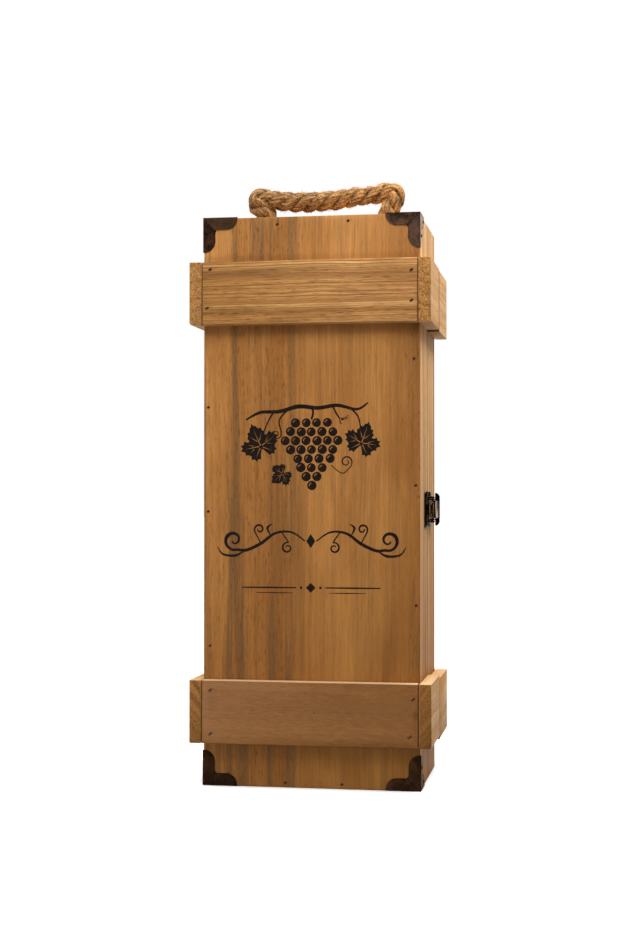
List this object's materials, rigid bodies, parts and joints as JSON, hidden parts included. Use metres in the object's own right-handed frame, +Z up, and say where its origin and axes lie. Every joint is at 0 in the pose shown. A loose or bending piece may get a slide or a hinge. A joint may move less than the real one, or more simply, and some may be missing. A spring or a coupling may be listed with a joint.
{
  "type": "wooden bottle box",
  "caption": "Upright wooden box for one bottle, opening like a book, with bands of battens, metal corner brackets, a toggle latch and a rope handle.",
  "frame": {"origin": "middle of the box's bottom, on the face that it stands on", "axes": "+Z up, -Y out of the front panel, +X towards the latch"},
  "size_m": [0.1535, 0.1092, 0.3811],
  "materials": {
    "panel_wood": "planed light hardwood, stained warm brown, grain upright",
    "batten_wood": "planed light hardwood, stained warm brown, grain along the batten",
    "side_wood": "planed light hardwood, pale, grain upright",
    "side_batten_wood": "sawn light hardwood, end grain at the front and back",
    "bracket_metal": "antique bronze, satin",
    "hinge_metal": "antique bronze, satin",
    "latch_metal": "black, glossy",
    "nail_steel": "dulled steel",
    "jute": "three-strand jute rope, hairy"
  },
  "bodies": {
    "base": {"back_panel": "panel_wood", "base_left_side": "side_wood", "base_right_side": "side_wood", "base_top_board": "side_wood", "base_bottom_board": "side_wood", "rear_upper_batten": "batten_wood", "rear_lower_batten": "batten_wood", "base_left_upper_batten": "side_batten_wood", "base_right_upper_batten": "side_batten_wood", "base_left_lower_batten": "side_batten_wood", "base_right_lower_batten": "side_batten_wood", "back_panel_brads": "nail_steel", "base_frame_brads": "nail_steel", "base_batten_brads": "nail_steel", "hinge_base_leaves": "hinge_metal", "hinge_pins": "hinge_metal", "hinge_base_tacks": "nail_steel", "latch_base_plate": "latch_metal", "latch_base_tacks": "nail_steel", "latch_rivets": "latch_metal"},
    "lid": {"front_panel": "panel_wood", "lid_left_side": "side_wood", "lid_right_side": "side_wood", "lid_top_board": "side_wood", "lid_bottom_board": "side_wood", "front_upper_batten": "batten_wood", "front_lower_batten": "batten_wood", "lid_left_upper_batten": "side_batten_wood", "lid_right_upper_batten": "side_batten_wood", "lid_left_lower_batten": "side_batten_wood", "lid_right_lower_batten": "side_batten_wood", "front_panel_brads": "nail_steel", "lid_frame_brads": "nail_steel", "lid_batten_brads": "nail_steel", "upper_left_bracket": "bracket_metal", "upper_right_bracket": "bracket_metal", "lower_left_bracket": "bracket_metal", "lower_right_bracket": "bracket_metal", "bracket_tacks": "nail_steel", "hinge_lid_leaves": "hinge_metal", "hinge_lid_tacks": "nail_steel", "catch_plate": "latch_metal", "catch_tacks": "nail_steel"},
    "lever": {"latch_lever": "latch_metal"},
    "link": {"latch_link": "latch_metal"},
    "handle": {"handle_rope": "jute", "rope_knots": "jute"}
  },
  "joints": [
    {"name": "lid_swing", "type": "hinge", "parent": "base", "child": "lid", "pos_m": [-0.0769, -0.001, 0.175], "axis": [0, 0, -1], "range_deg": [0, 180]},
    {"name": "lever_swing", "type": "hinge", "parent": "base", "child": "lever", "pos_m": [0.0696, 0.0045, 0.1695], "axis": [0, 0, -1], "range_deg": [0, 110]},
    {"name": "link_swing", "type": "hinge", "parent": "lever", "child": "link", "pos_m": [0.0696, 0.0089, 0.1695], "axis": [0, 0, -1], "range_deg": [-132, 0]},
    {"name": "handle_lift", "type": "slide", "parent": "base", "child": "handle", "axis": [0, 0, 1], "range_m": [0, 0.01]}
  ],
  "couplings": [
    {"joint": "link_swing", "follows": "lever_swing", "ratio": -1.2}
  ]
}
